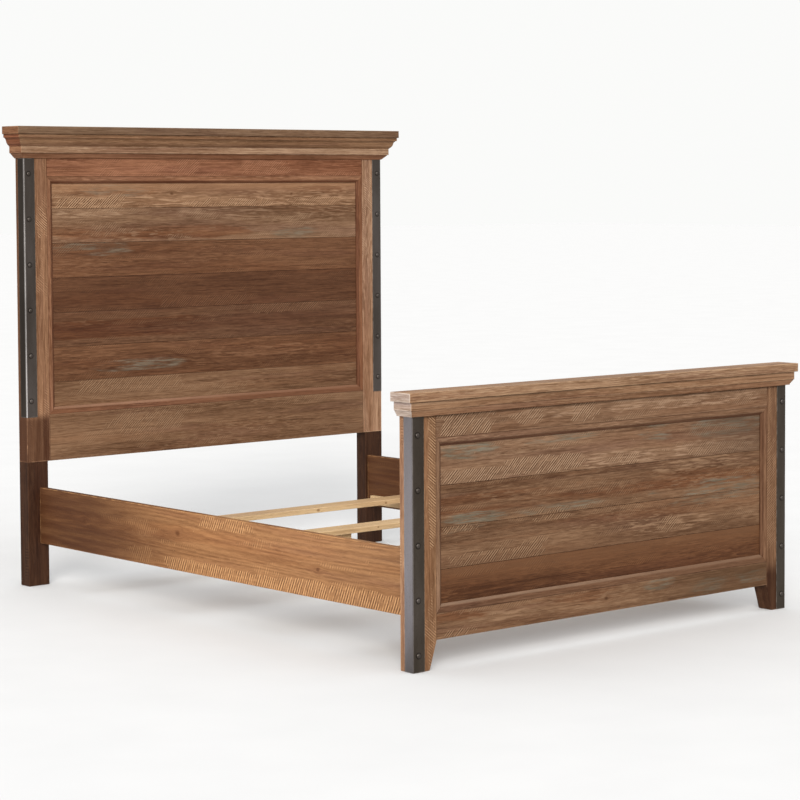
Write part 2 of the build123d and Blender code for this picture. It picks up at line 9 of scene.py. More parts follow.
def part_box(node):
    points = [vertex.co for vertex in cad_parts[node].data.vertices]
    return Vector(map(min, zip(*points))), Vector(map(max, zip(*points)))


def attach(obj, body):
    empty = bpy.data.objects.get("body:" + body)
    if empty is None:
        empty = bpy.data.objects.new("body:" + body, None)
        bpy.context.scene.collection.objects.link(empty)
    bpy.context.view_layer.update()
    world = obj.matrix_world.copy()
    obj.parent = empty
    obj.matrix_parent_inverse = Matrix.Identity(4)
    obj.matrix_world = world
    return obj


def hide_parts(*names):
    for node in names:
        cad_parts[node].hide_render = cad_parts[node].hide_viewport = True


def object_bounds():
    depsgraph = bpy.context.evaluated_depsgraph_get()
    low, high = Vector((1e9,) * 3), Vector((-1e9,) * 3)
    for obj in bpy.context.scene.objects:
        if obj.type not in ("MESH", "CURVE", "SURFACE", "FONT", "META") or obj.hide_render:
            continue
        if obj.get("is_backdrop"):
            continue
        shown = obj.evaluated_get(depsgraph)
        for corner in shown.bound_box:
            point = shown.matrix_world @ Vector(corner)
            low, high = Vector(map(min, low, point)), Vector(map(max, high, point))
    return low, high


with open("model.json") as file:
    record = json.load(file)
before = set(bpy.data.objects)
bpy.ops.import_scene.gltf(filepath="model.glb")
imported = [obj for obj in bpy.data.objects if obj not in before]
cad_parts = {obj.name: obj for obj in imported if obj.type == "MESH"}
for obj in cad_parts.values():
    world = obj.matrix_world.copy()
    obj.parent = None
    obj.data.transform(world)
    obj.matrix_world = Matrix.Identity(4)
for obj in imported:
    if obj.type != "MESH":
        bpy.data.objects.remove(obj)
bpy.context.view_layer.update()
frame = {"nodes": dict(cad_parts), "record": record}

# Looks of the panel bed frame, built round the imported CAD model. Metres, +Y towards the headboard, +Z up.
NODES = frame["nodes"]
BODY_OF = {n: body for body, members in frame["record"]["behaviour"]["bodies"].items() for n in members}
SLOT_OF = {part["node"]: part["material_slot"] for part in frame["record"]["subparts"]}
MM = 0.001
SIDES = {"left": -1, "right": 1}


# ---- Camera, floor and light -----------------------------------------------------------
CAMERA_TARGET = Vector((0.053, 0.0155, 0.9614))
CAMERA_DISTANCE = 8.62
CAMERA_AZIMUTH = math.radians(-40.61)
CAMERA_ELEVATION = math.radians(3.27)
CAMERA_ROLL = math.radians(-0.30)
CAMERA_LENS = 109.5
CAMERA_SHIFT_Y = -0.0936
FLOOR_REACH = 60.0
BACKGROUND = (0.960, 0.962, 0.950)


def link(obj):
    bpy.context.scene.collection.objects.link(obj)
    return obj


def look_from(obj, place, target, roll=0.0):
    """Put obj at place with its -Z axis towards target."""
    turn = (Vector(target) - Vector(place)).to_track_quat("-Z", "Y").to_matrix().to_4x4()
    obj.matrix_world = Matrix.Translation(place) @ turn @ Matrix.Rotation(roll, 4, "Z")


def add_camera():
    level = math.cos(CAMERA_ELEVATION)
    back = Vector((math.sin(CAMERA_AZIMUTH) * level, -math.cos(CAMERA_AZIMUTH) * level,
                   math.sin(CAMERA_ELEVATION)))
    data = bpy.data.cameras.new("camera")
    data.lens = CAMERA_LENS
    data.shift_y = CAMERA_SHIFT_Y
    data.clip_end = 200
    camera = link(bpy.data.objects.new("camera", data))
    look_from(camera, CAMERA_TARGET + back * CAMERA_DISTANCE, CAMERA_TARGET, CAMERA_ROLL)
    bpy.context.scene.camera = camera


def add_stage():
    """A pale floor. Its bounce is left to the world's lower half, so that undersides stay dark as in a room."""
    mesh = bpy.data.meshes.new("floor")
    r = FLOOR_REACH
    mesh.from_pydata([(-r, -r, 0), (r, -r, 0), (r, r, 0), (-r, r, 0)], [], [(0, 1, 2, 3)])
    floor = link(bpy.data.objects.new("floor", mesh))
    g = Surface("floor")
    dust = g.noise(g.coords(), 3.0, detail=2)
    g.set("Base Color", g.ramp(dust, [(0.3, (0.683, 0.702, 0.728)), (0.7, (0.702, 0.721, 0.747))]))
    g.set("Roughness", 0.9)
    mesh.materials.append(g.material)
    floor.visible_diffuse = False
    floor.visible_glossy = False
    floor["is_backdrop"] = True


def add_world():
    """Soft room light: bright above and to the left front, dim below, and plain pale where the camera looks."""
    world = bpy.data.worlds.new("studio")
    bpy.context.scene.world = world
    g = Graph(world)
    sky = g.tree.nodes["Background"].inputs
    direction = g.node("TexCoord").outputs["Generated"]
    height = g.calc("MULTIPLY_ADD", g.axes(direction)[2], 0.5, 0.5)
    glow = g.ramp(height, [(0.0, (0.62, 0.58, 0.54)), (0.36, (0.52, 0.49, 0.46)), (0.5, (0.34, 0.32, 0.30)),
                           (0.56, (0.62, 0.60, 0.57)), (0.9, (1.15, 1.13, 1.10))])
    facing = g.vector("DOT_PRODUCT", direction, (-0.62, -0.74, 0.25))
    glow = g.mix(1.0, glow, g.ramp(g.calc("MULTIPLY_ADD", facing, 0.5, 0.5), [(0.1, (0.90,) * 3), (0.9, (1.17,) * 3)]),
                 "MULTIPLY")
    camera_ray = g.node("LightPath").outputs["Is Camera Ray"]
    g.feed(sky["Color"], g.mix(camera_ray, glow, BACKGROUND))


def add_sun(azimuth, elevation, strength, softness):
    data = bpy.data.lights.new("sun", "SUN")
    data.energy = strength
    data.angle = math.radians(softness)
    data.color = (1.0, 0.95, 0.88)
    a, e = math.radians(azimuth), math.radians(elevation)
    place = Vector((math.sin(a) * math.cos(e), -math.cos(a) * math.cos(e), math.sin(e))) * 8
    look_from(link(bpy.data.objects.new("sun", data)), place, (0, 0, 0))


def add_softbox(name, place, target, size, watts, colour, lit):
    """A soft light from one side that shines only on the pieces in the collection lit."""
    data = bpy.data.lights.new(name, "AREA")
    data.shape = "RECTANGLE"
    data.size, data.size_y = size
    data.energy = watts
    data.color = colour
    light = link(bpy.data.objects.new(name, data))
    light.visible_camera = False
    light.light_linking.receiver_collection = lit
    look_from(light, place, target)


# ---- Material graphs ---------------------------------------------------------------------
class Graph:
    """The node tree of a material or a world, with short calls for the nodes it needs."""

    def __init__(self, owner):
        owner.use_nodes = True
        self.tree = owner.node_tree

    def feed(self, socket, value):
        if isinstance(value, bpy.types.NodeSocket):
            self.tree.links.new(value, socket)
        elif socket.type == "RGBA":
            socket.default_value = (*value[:3], 1.0)
        else:
            socket.default_value = value

    def node(self, kind, props=None, **inputs):
        made = self.tree.nodes.new("ShaderNode" + kind)
        for key, value in (props or {}).items():
            setattr(made, key, value)
        for key, value in inputs.items():
            self.feed(made.inputs[key], value)
        return made

    def coords(self):
        return self.node("TexCoord").outputs["Object"]

    def axes(self, place):
        return self.node("SeparateXYZ", Vector=place).outputs

    def join(self, x, y, z):
        return self.node("CombineXYZ", X=x, Y=y, Z=z).outputs[0]

    def calc(self, operation, *values):
        made = self.node("Math", {"operation": operation})
        for socket, value in zip(made.inputs, values):
            self.feed(socket, value)
        return made.outputs[0]

    def vector(self, operation, *values):
        made = self.node("VectorMath", {"operation": operation})
        for socket, value in zip(made.inputs, values):
            self.feed(socket, value)
        return made.outputs["Value" if operation in ("LENGTH", "DOT_PRODUCT") else "Vector"]

    def noise(self, place, scale=1.0, detail=4.0, rough=0.55, output="Fac"):
        made = self.node("TexNoise", Vector=place, Scale=scale, Detail=detail, Roughness=rough)
        return made.outputs[output]

    def stretched(self, place, scales, shift, detail=4.0, rough=0.55, output="Fac"):
        """Noise with its own scale in each direction."""
        return self.noise(self.vector("MULTIPLY_ADD", place, scales, shift), 1.0, detail, rough, output)

    def ramp(self, value, stops):
        made = self.node("ValToRGB", Fac=value)
        points = made.color_ramp.elements
        for n, (position, colour) in enumerate(sorted(stops)):
            point = points[n] if n < 2 else points.new(position)
            point.position = position
            point.color = (*colour, 1.0)
        return made.outputs["Color"]

    def span(self, value, low, high, to_low=0.0, to_high=1.0):
        """Smooth step of value from low..high to to_low..to_high."""
        made = self.node("MapRange", {"interpolation_type": "SMOOTHSTEP"})
        for socket, number in zip(made.inputs, (value, low, high, to_low, to_high)):
            self.feed(socket, number)
        return made.outputs[0]

    def mix(self, amount, a, b, blend="MIX"):
        made = self.node("Mix", {"data_type": "RGBA", "blend_type": blend})
        for socket, value in ((0, amount), (6, a), (7, b)):
            self.feed(made.inputs[socket], value)
        return made.outputs[2]

    def highest(self, values):
        """The highest of several values, or None if there are none."""
        top = None
        for value in values:
            top = value if top is None else self.calc("MAXIMUM", top, value)
        return top


class Surface(Graph):
    """A new material and its shader."""

    def __init__(self, name):
        self.material = bpy.data.materials.new(name)
        super().__init__(self.material)
        self.shader = self.tree.nodes["Principled BSDF"]

    def set(self, name, value):
        self.feed(self.shader.inputs[name], value)

    def bump(self, height, distance, strength=1.0):
        self.set("Normal", self.node("Bump", Height=height, Distance=distance, Strength=strength).outputs[0])


def tint(colour, factors):
    return tuple(c * f for c, f in zip(colour, factors))


def edge_distance(g, place, box):
    """Distance from the nearest edge of a board: the middle one of its distances from three pairs of faces."""
    low, high = box
    middle, half = (low + high) / 2, (high - low) / 2
    inside = g.vector("SUBTRACT", half, g.vector("ABSOLUTE", g.vector("SUBTRACT", place, middle)))
    x, y, z = (g.axes(inside)[n] for n in range(3))
    return g.calc("MAXIMUM", g.calc("MINIMUM", x, y), g.calc("MINIMUM", g.calc("MAXIMUM", x, y), z))


GRAIN_AXES = {"X": (0, 2, 1), "Y": (1, 2, 0), "Z": (2, 0, 1)}  # along, across and through a board
KERF_PITCH = 7.2 * MM


class Timber(Surface):
    """Weathered timber of one board. Patches on it are (start, stop, low, high, strength), the first four being
    shares of its length and of its height or width."""

    def __init__(self, name, grain, mean, box, closeness):
        super().__init__(name)
        self.mean, self.box, self.closeness = mean, box, closeness
        self.seed = 1 + sum(ord(letter) * (n + 3) for n, letter in enumerate(name)) % 89
        self.shift = Vector((self.seed * 1.37, self.seed * 0.71, self.seed * 2.13))
        self.place = self.coords()
        self.parts = self.axes(self.place)
        self.order = GRAIN_AXES[grain]
        self.along, self.across, self.through = (self.parts[n] for n in self.order)

    def shade(self, *factors):
        return tint(self.mean, factors)

    def at(self, along, across):
        """A point given in shares of the board, in metres."""
        low, high = self.box
        a, c, _ = self.order
        return low[a] + along * (high[a] - low[a]), low[c] + across * (high[c] - low[c])

    def patches(self, patches, along_edge=0.06, across_edge=0.012, tear=(9.0, 60.0), torn=1.2):
        """How much of each point lies in the patches, whose borders are ragged."""
        ragged = self.calc("MULTIPLY_ADD", self.layer(tear, 3, 0.6, offset=8), torn, -0.5 * torn)
        found = []
        for start, stop, low, high, strength in patches:
            (start, low), (stop, high) = self.at(start, low), self.at(stop, high)
            mask = 1.0
            for value, first, last, soft in ((self.along, start, stop, along_edge), (self.across, low, high, across_edge)):
                mask = self.calc("MULTIPLY", mask, self.span(value, first - soft, first + soft))
                mask = self.calc("MULTIPLY", mask, self.span(value, last - soft, last + soft, 1.0, 0.0))
            found.append(self.span(self.calc("ADD", mask, ragged), 0.30, 0.62, 0.0, strength))
        return self.highest(found)

    def grow(self, knots, ruddy, contrast, figure):
        """Grain, growth rings and pores, bent round the knots."""
        cores = []
        for share_along, share_across, radius in knots:
            at_along, at_across = self.at(share_along, share_across)
            reach = self.join(self.calc("MULTIPLY", self.calc("SUBTRACT", self.along, at_along), 0.7),
                              self.calc("SUBTRACT", self.across, at_across), 0.0)
            distance = self.calc("DIVIDE", self.vector("LENGTH", reach), radius)
            pull = self.span(distance, 0.0, 4.5, 0.8, 0.0)
            self.across = self.calc("MULTIPLY_ADD", self.calc("SUBTRACT", at_across, self.across), pull, self.across)
            cores.append(self.span(distance, 0.45, 1.35, 1.0, 0.0))
        straight = self.join(self.along, self.across, self.through)
        sway = self.stretched(straight, (1.5, 5.0, 5.0), self.shift, 2, output="Color")
        sway = self.vector("SUBTRACT", sway, (0.5, 0.5, 0.5))
        self.fibre = self.vector("MULTIPLY_ADD", sway, (0.0, 0.009, 0.009), straight)
        streak = self.layer((2.2, 48.0), 5, 0.6)
        vein = self.layer((7.0, 150.0), 5, 0.72)
        fine = self.layer((26.0, 420.0), 3, 0.7)
        broad = self.layer((1.1, 11.0), 2, 0.5)
        arch = self.layer((0.6, 8.0), 1, 0.4)
        rings = self.calc("MULTIPLY_ADD", self.calc("SINE", self.calc("MULTIPLY", arch, 120.0)), 0.5, 0.5)
        pores = self.span(self.layer((24.0, 760.0), 1), 0.60, 0.74)
        tone = self.calc("MULTIPLY", self.calc("SUBTRACT", streak, 0.5), 0.5)
        for part, weight in ((vein, 1.45), (fine, 1.1), (broad, 0.95), (rings, figure)):
            tone = self.calc("MULTIPLY_ADD", self.calc("SUBTRACT", part, 0.5), weight, tone)
        tone = self.calc("MULTIPLY_ADD", tone, contrast, 0.5)
        self.colour = self.ramp(tone, [(0.12, self.shade(0.50, 0.42, 0.34)), (0.5, self.mean),
                                       (0.88, self.shade(1.50, 1.62, 1.72))])
        red = self.span(self.layer((0.9, 13.0), 2, offset=2), 0.46, 0.66, 0.0, ruddy)
        self.blush(red)
        hairs = self.span(self.layer((3.5, 230.0), 2, offset=10), 0.58, 0.70, 0.0, 0.55 * contrast)
        self.paint(hairs, self.shade(0.48, 0.40, 0.34))
        mauve = self.span(self.layer((1.4, 18.0), 3, offset=14), 0.50, 0.66, 0.0, 0.6)
        self.colour = self.mix(mauve, self.colour, self.mix(1.0, self.colour, (0.80, 0.74, 0.80), "MULTIPLY"))
        self.paint(self.calc("MULTIPLY", pores, 0.45), self.shade(0.38, 0.30, 0.24))
        height = self.calc("MULTIPLY_ADD", vein, 0.7, self.calc("MULTIPLY", fine, 0.6))
        self.height = self.calc("MULTIPLY_ADD", pores, -0.6, height)
        self.polish = streak
        core = self.highest(cores)
        if core is not None:
            self.paint(self.calc("MULTIPLY", core, 0.75), self.shade(0.38, 0.27, 0.18))
            self.height = self.calc("MULTIPLY_ADD", core, 0.4, self.height)

    def layer(self, scales, detail, rough=0.5, offset=1):
        """Noise drawn out along the fibres: scales are along and across them, per metre."""
        across = scales[1] * self.closeness
        return self.stretched(self.fibre, (scales[0], across, across), self.shift * offset, detail, rough)

    def paint(self, amount, colour):
        self.colour = self.mix(amount, self.colour, colour)

    def blush(self, amount):
        """Darker, redder wood."""
        self.colour = self.mix(amount, self.colour, self.mix(1.0, self.colour, (0.84, 0.66, 0.54), "MULTIPLY"))

    def ruddy_patches(self, patches):
        ragged = self.span(self.layer((1.6, 24.0), 3, offset=6), 0.30, 0.55)
        self.blush(self.calc("MULTIPLY", self.patches(patches, 0.15, 0.020), ragged))

    def pale_patches(self, patches):
        """Short pale dashes where the stain has worn through."""
        dash = self.span(self.layer((13.0, 150.0), 4, 0.6, offset=4), 0.48, 0.62, 0.0, 0.85)
        self.paint(self.calc("MULTIPLY", self.patches(patches), dash), self.shade(1.9, 2.2, 2.5))

    def wash_patches(self, patches):
        """Thin grey-green paint left in the grain."""
        film = self.span(self.layer((5.0, 42.0), 4, 0.65, offset=3), 0.36, 0.57)
        brushed = self.span(self.layer((11.0, 170.0), 4, 0.7, offset=11), 0.40, 0.60, 0.10, 0.95)
        amount = self.calc("MULTIPLY", film, brushed)
        paint = self.mix(self.span(self.layer((7.0, 80.0), 2, offset=12), 0.4, 0.6), (0.130, 0.118, 0.086),
                         (0.200, 0.184, 0.142))
        self.paint(self.calc("MULTIPLY", self.patches(patches, 0.10, 0.018), amount), paint)

    def scatter(self, strength):
        """Dark smears and a few pale dashes all over the board."""
        smear = self.span(self.layer((5.0, 70.0), 5, 0.65, offset=5), 0.56, 0.70, 0.0, 0.55 * strength)
        self.paint(smear, self.shade(0.50, 0.42, 0.35))
        field = self.span(self.layer((2.2, 20.0), 2, offset=4), 0.42, 0.62, 0.0, strength)
        dash = self.span(self.layer((24.0, 210.0), 3, offset=7), 0.52, 0.64, 0.0, 0.75)
        self.paint(self.calc("MULTIPLY", field, dash), self.shade(1.75, 2.0, 2.2))

    def kerf_patches(self, patches, slant, pitch):
        """Saw marks: pale ridges and dark cuts, slanting to the grain."""
        angle = math.radians(abs(slant))
        lean = math.copysign(math.cos(angle), -slant)
        flat = self.join(self.along, self.across, float(self.seed))
        sway = self.calc("MULTIPLY", self.noise(flat, 6.0, 2), 0.016)
        run = self.calc("MULTIPLY_ADD", self.along, math.sin(angle), sway)
        run = self.calc("MULTIPLY_ADD", self.across, lean, run)
        wave = self.calc("SINE", self.calc("MULTIPLY", run, 2 * math.pi / pitch))
        stripe = self.calc("MULTIPLY_ADD", wave, 0.5, 0.5)
        broken = self.stretched(self.join(run, self.across, float(self.seed)), (70.0, 26.0, 1.0), (0, 0, 0), 2)
        mask = self.span(self.layer((4.0, 26.0), 2, offset=9), 0.54, 0.66, 0.0, 0.35)
        if patches:
            mask = self.calc("MAXIMUM", mask, self.patches(patches, tear=(22.0, 44.0), torn=2.0))
        self.paint(self.calc("MULTIPLY", mask, 0.35), self.shade(1.45, 1.60, 1.70))
        mask = self.calc("MULTIPLY", mask, self.span(broken, 0.38, 0.56, 0.05, 1.0))
        self.paint(self.calc("MULTIPLY", mask, self.span(stripe, 0.52, 0.85, 0.0, 0.95)), self.shade(2.2, 2.55, 2.85))
        self.paint(self.calc("MULTIPLY", mask, self.span(stripe, 0.10, 0.45, 0.95, 0.0)), self.shade(0.26, 0.18, 0.12))
        self.height = self.calc("MULTIPLY_ADD", self.calc("MULTIPLY", mask, stripe), 1.4, self.height)

    def draw_seams(self, lines, strength):
        """Dark stain in the joints, which are (axis, place)."""
        for axis, line in lines:
            off = self.calc("ABSOLUTE", self.calc("SUBTRACT", self.parts["XYZ".index(axis)], line))
            dirt = self.span(off, 0.6 * MM, 2.3 * MM, strength, 0.0)
            dirt = self.calc("MULTIPLY", dirt, self.span(self.layer((6.0, 12.0), 2, offset=13), 0.35, 0.6, 1.0, 0.45))
            self.paint(dirt, self.shade(0.28, 0.15, 0.085))

    def tone_and_light_ramp(self, axis, clean, dirty, strength, factors=(0.34, 0.25, 0.19)):
        """A colour growing towards one side: painted shade in bevels, low on posts, on a post's side and along the
        rails; a painted highlight on an upward bevel; elsewhere a change of the wood's tone.
        """
        ramp_amount = self.span(self.parts["XYZ".index(axis)], clean, dirty, 0.0, strength)
        ramp_amount = self.calc("MULTIPLY", ramp_amount, self.span(self.polish, 0.35, 0.65, 1.0, 0.75))
        self.paint(ramp_amount, self.shade(*factors))

    def rub(self, strength, ridges=()):
        """Pale, rubbed edges: the box's own and the ridges, which are (axis, place)."""
        amount = self.span(edge_distance(self, self.place, self.box), 0.6 * MM, 4.0 * MM, 1.0, 0.0)
        for axis, line in ridges:
            off = self.calc("ABSOLUTE", self.calc("SUBTRACT", self.parts["XYZ".index(axis)], line))
            amount = self.calc("MAXIMUM", amount, self.span(off, 0.3 * MM, 2.2 * MM, 1.0, 0.0))
        amount = self.calc("MULTIPLY", amount, self.span(self.noise(self.place, 30.0, 3), 0.36, 0.64, 0.1, strength))
        self.paint(amount, self.shade(1.70, 1.90, 2.05))

    def done(self):
        self.set("Base Color", self.colour)
        self.set("Roughness", self.span(self.polish, 0.3, 0.7, 0.50, 0.70))
        self.set("Specular IOR Level", 0.18)
        self.bump(self.height, 0.6 * MM, 0.8)
        return self.material


def timber(name, grain, mean, box, kerf=(), slant=42.0, pitch=KERF_PITCH, wash=(), pale=(), dark=(), knots=(),
           ruddy=0.35, contrast=1.0, figure=0.09, scatter=0.6, worn=0.7, ridges=(), seams=(), joint=0.85, tone_and_light_ramps=(),
           sawn=True, closeness=1.0):
    t = Timber(name, grain, mean, box, closeness)
    t.grow(knots, ruddy, contrast, figure)
    if dark:
        t.ruddy_patches(dark)
    if scatter:
        t.scatter(scatter)
    if pale:
        t.pale_patches(pale)
    if wash:
        t.wash_patches(wash)
    if sawn:
        t.kerf_patches(kerf, slant, pitch)
    for tone_and_light_ramp in tone_and_light_ramps:
        t.tone_and_light_ramp(*tone_and_light_ramp)
    t.rub(worn, ridges)
    t.draw_seams(seams, joint)
    return t.done()


def dark_steel(name, box=None, rivets=(), bend=None, tone=(1, 1, 1), side_leaf_reflection=(1, 1, 1), bend_highlight=0.0):
    """Satin bronze-black metal with a cloudy patina, rubbed edges, and a dark ring round its rivets that is partly
    dirt and partly painted shade. On an angle the leaf that faces the bed's side carries a painted reflection, and the
    bend may carry a painted highlight."""
    g = Surface(name)
    place = g.coords()
    cloud = g.stretched(place, (11.0, 11.0, 2.6), (0, 0, 0), 5, 0.6)
    speck = g.stretched(place, (240.0, 240.0, 150.0), (0, 0, 0), 3)
    shades = ((0.25, (0.068, 0.056, 0.047)), (0.5, (0.095, 0.082, 0.074)), (0.75, (0.132, 0.118, 0.112)))
    colour = g.ramp(cloud, [(place_on_ramp, tint(shade, tone)) for place_on_ramp, shade in shades])
    colour = g.mix(g.span(speck, 0.55, 0.75, 0.0, 0.45), colour, (0.05, 0.038, 0.028))
    rough = g.span(cloud, 0.3, 0.7, 0.36, 0.50)
    if rivets:
        x, y, z = (g.axes(place)[n] for n in range(3))
        gap = None
        for centre in rivets:
            off = g.calc("ABSOLUTE", g.calc("SUBTRACT", z, centre.z))
            gap = off if gap is None else g.calc("MINIMUM", gap, off)
        reach = g.vector("LENGTH", g.join(g.calc("SUBTRACT", x, rivets[0].x), 0.0, gap))
        # Dark ring round each rivet: partly dirt, partly painted shade.
        colour = g.mix(g.span(reach, 7 * MM, 13 * MM, 0.85, 0.0), colour, (0.020, 0.016, 0.013))
    if bend:
        from_corner = g.vector("SUBTRACT", place, bend)
        leaf = g.span(g.calc("ABSOLUTE", g.axes(from_corner)[0]), 1 * MM, 4 * MM, 1.0, 0.0)
        # Painted reflection on the leaf that faces the bed's side.
        colour = g.mix(leaf, colour, g.mix(1.0, colour, side_leaf_reflection, "MULTIPLY"))
        reach = g.vector("LENGTH", g.vector("MULTIPLY", from_corner, (1.0, 1.0, 0.0)))
        # Painted highlight along the bend; its roughness is lowered as well.
        polish = g.calc("MULTIPLY", g.span(reach, 3 * MM, 6 * MM, bend_highlight, 0.0), g.span(cloud, 0.3, 0.6, 0.5, 0.95))
        colour = g.mix(polish, colour, (0.40, 0.385, 0.385))
        rough = g.calc("MULTIPLY_ADD", polish, -0.10, rough)
    if box:
        rub = g.span(edge_distance(g, place, box), 0.5 * MM, 2.5 * MM, 1.0, 0.0)
        rub = g.calc("MULTIPLY", rub, g.span(g.noise(place, 50.0, 3), 0.35, 0.65, 0.1, 0.7))
        colour = g.mix(rub, colour, (0.34, 0.31, 0.28))
    g.set("Base Color", colour)
    g.set("Metallic", 0.85)
    g.set("Roughness", rough)
    g.bump(g.calc("MULTIPLY_ADD", speck, 0.5, cloud), 0.12 * MM, 0.7)
    return g.material


def zinc(name):
    """Zinc-plated hardware with a faint spangle."""
    g = Surface(name)
    place = g.coords()
    spangle = g.noise(place, 900.0, 2)
    haze = g.noise(place, 45.0, 3)
    g.set("Base Color", g.ramp(haze, [(0.3, (0.42, 0.41, 0.38)), (0.7, (0.62, 0.62, 0.60))]))
    g.set("Metallic", 0.95)
    g.set("Roughness", g.span(spangle, 0.3, 0.7, 0.28, 0.46))
    g.bump(spangle, 0.05 * MM, 0.6)
    return g.material


def glide_plastic(name):
    """Dark moulded plastic, faintly grained and scuffed pale on its lower edge."""
    g = Surface(name)
    place = g.coords()
    grain = g.noise(place, 1400.0, 2)
    scuff = g.calc("MULTIPLY", g.span(g.axes(place)[2], 0.0, 2.5 * MM, 1.0, 0.0), g.noise(place, 160.0, 3))
    colour = g.mix(g.span(grain, 0.3, 0.7), (0.020, 0.019, 0.018), (0.034, 0.032, 0.030))
    g.set("Base Color", g.mix(scuff, colour, (0.10, 0.095, 0.09)))
    g.set("Roughness", g.span(grain, 0.3, 0.7, 0.42, 0.60))
    g.bump(grain, 0.05 * MM, 0.5)
    return g.material


# ---- Mesh helpers ------------------------------------------------------------------------
def finish_piece(bm, name, node, materials, smooth_angle=35.0):
    """Turn the mesh into a piece that stands for the CAD node."""
    for face in bm.faces:
        face.smooth = True
    for edge in bm.edges:
        edge.smooth = len(edge.link_faces) == 2 and edge.calc_face_angle(0.0) < math.radians(smooth_angle)
    mesh = bpy.data.meshes.new(name)
    bm.to_mesh(mesh)
    bm.free()
    for material in materials:
        mesh.materials.append(material)
    piece = link(bpy.data.objects.new(name, mesh))
    lit.objects.link(piece)
    piece.modifiers.new("normals", "WEIGHTED_NORMAL").keep_sharp = True
    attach(piece, BODY_OF[node])
    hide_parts(node)
    return piece


def clean_copy(node):
    """The CAD node's mesh with its vertices joined and its flat faces whole."""
    bm = bmesh.new()
    bm.from_mesh(NODES[node].data)
    bmesh.ops.remove_doubles(bm, verts=bm.verts, dist=0.01 * MM)
    bmesh.ops.dissolve_limit(bm, angle_limit=math.radians(0.4), verts=bm.verts, edges=bm.edges)
    return bm


def slice_along(bm, axis, pitch):
    """Cut the mesh across an axis into lengths of about pitch."""
    places = [vert.co[axis] for vert in bm.verts]
    low, high = min(places), max(places)
    normal = Vector([float(n == axis) for n in range(3)])
    count = max(2, round((high - low) / pitch))
    rest = bm.verts[:] + bm.edges[:] + bm.faces[:]
    for n in range(1, count):
        place = low + (high - low) * n / count
        cut = bmesh.ops.bisect_plane(bm, geom=rest, plane_co=normal * place, plane_no=normal, dist=0.02 * MM)
        rest = [part for part in cut["geom"] if farthest(part, axis) > place - 0.03 * MM]


def farthest(part, axis):
    """The highest coordinate of a vertex, edge or face along an axis."""
    if isinstance(part, bmesh.types.BMVert):
        return part.co[axis]
    return max(vert.co[axis] for vert in part.verts)


def wear_edges(bm, nick):
    """Push the long convex edges inwards by an uneven amount, with a few deeper nicks."""
    bm.normal_update()
    worn = set()
    for edge in bm.edges:
        if edge.calc_length() > 4 * MM and edge.calc_face_angle_signed(0.0) > math.radians(6):
            worn.update(edge.verts)
    moves = []
    for vert in worn:
        ripple = noise.noise(vert.co * 24.0)
        dent = max(0.0, noise.noise(vert.co * 55.0 + Vector((7, 3, 1))) - 0.18)
        moves.append((vert, vert.normal * -nick * max(0.0, 0.25 + 0.35 * ripple + 1.6 * dent)))
    for vert, move in moves:
        vert.co += move


def islands(bm):
    """The mesh's separate solids, each as a set of vertices."""
    left, found = set(bm.verts), []
    while left:
        stack, island = [left.pop()], set()
        while stack:
            vert = stack.pop()
            island.add(vert)
            for edge in vert.link_edges:
                other = edge.other_vert(vert)
                if other in left:
                    left.remove(other)
                    stack.append(other)
        found.append(island)
    return found


def corners(points):
    return [Vector(pick(p[n] for p in points) for n in range(3)) for pick in (min, max)]


def lathe(bm, profile, place, direction, segments=28, roll=0.0):
    """A solid turned about direction from place. profile lists (radius, height); it starts and ends on the axis."""
    turn = Vector(direction).to_track_quat("Z", "Y").to_matrix()
    rings = []
    for radius, height in profile:
        if radius == 0:
            rings.append([bm.verts.new(Vector(place) + turn @ Vector((0, 0, height)))])
            continue
        angles = [roll + 2 * math.pi * n / segments for n in range(segments)]
        rings.append([bm.verts.new(Vector(place) + turn @ Vector((radius * math.cos(a), radius * math.sin(a), height)))
                      for a in angles])
    for inner, outer in zip(rings, rings[1:]):
        for n in range(segments):
            m = (n + 1) % segments
            corners_of = [inner[n % len(inner)], outer[n % len(outer)], outer[m % len(outer)], inner[m % len(inner)]]
            bm.faces.new(list(dict.fromkeys(corners_of)))
    return rings


# ---- Timber pieces -------------------------------------------------------------------
def board(node, grain, materials, pitch=22 * MM, nick=0.8 * MM):
    """The CAD node's board, worn along its edges. A second material goes on its ends."""
    bm = clean_copy(node)
    axis = "XYZ".index(grain)
    slice_along(bm, axis, pitch)
    bm.normal_update()
    if len(materials) > 1:
        for face in bm.faces:
            face.material_index = int(abs(face.normal[axis]) > 0.7)
    wear_edges(bm, nick)
    return finish_piece(bm, node + "_wood", node, materials)


def crown_run(node, mean, returns, **look):
    """A crown moulding of three mitred lengths, each its own piece with its own grain direction and colour."""
    whole = clean_copy(node)
    boxes = [corners([v.co for v in island]) for island in islands(whole)]
    whole.free()
    for low, high in boxes:
        centre = (low + high) / 2
        where = "front" if abs(centre.x) < 0.5 else "left" if centre.x < 0 else "right"
        grain = "X" if where == "front" else "Y"
        bm = clean_copy(node)
        keep = next(i for i in islands(bm) if (sum(corners([v.co for v in i]), Vector()) / 2 - centre).length < MM)
        bmesh.ops.delete(bm, geom=[v for v in bm.verts if v not in keep], context="VERTS")
        slice_along(bm, "XYZ".index(grain), 22 * MM)
        wear_edges(bm, 0.8 * MM)
        name = f"{node}_{where}"
        colour = mean if where == "front" else returns
        seams = [("Z", low.z), ("Z", high.z)] if "mould" in node else []
        finish_piece(bm, name, node, [timber("timber_" + name, grain, colour, (low, high), seams=seams, **look)])


